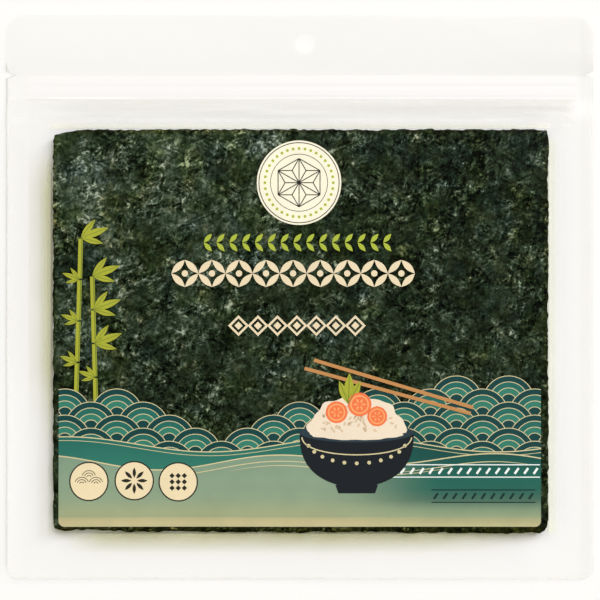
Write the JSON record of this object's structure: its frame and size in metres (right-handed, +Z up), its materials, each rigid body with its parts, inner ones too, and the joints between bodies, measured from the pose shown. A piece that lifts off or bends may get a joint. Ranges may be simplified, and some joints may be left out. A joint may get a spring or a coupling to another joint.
{
  "type": "clear zip pouch of roasted nori sheets",
  "caption": "Flat clear resealable pouch with a printed front, heat-sealed rim, zip and hang hole, holding a stack of dark green roasted seaweed sheets.",
  "frame": {"origin": "on the resting surface, under the middle of the pouch's bounding box", "axes": "+X across the pouch, to the right as the front is read; +Y from the folded bottom to the header; +Z up, out of the printed front"},
  "size_m": [0.249, 0.239, 0.0054],
  "materials": {
    "clear_film": "gloss",
    "zip": "satin",
    "nori": "satin",
    "print": "satin"
  },
  "bodies": {
    "root": {"pouch": "clear_film"}
  },
  "joints": []
}
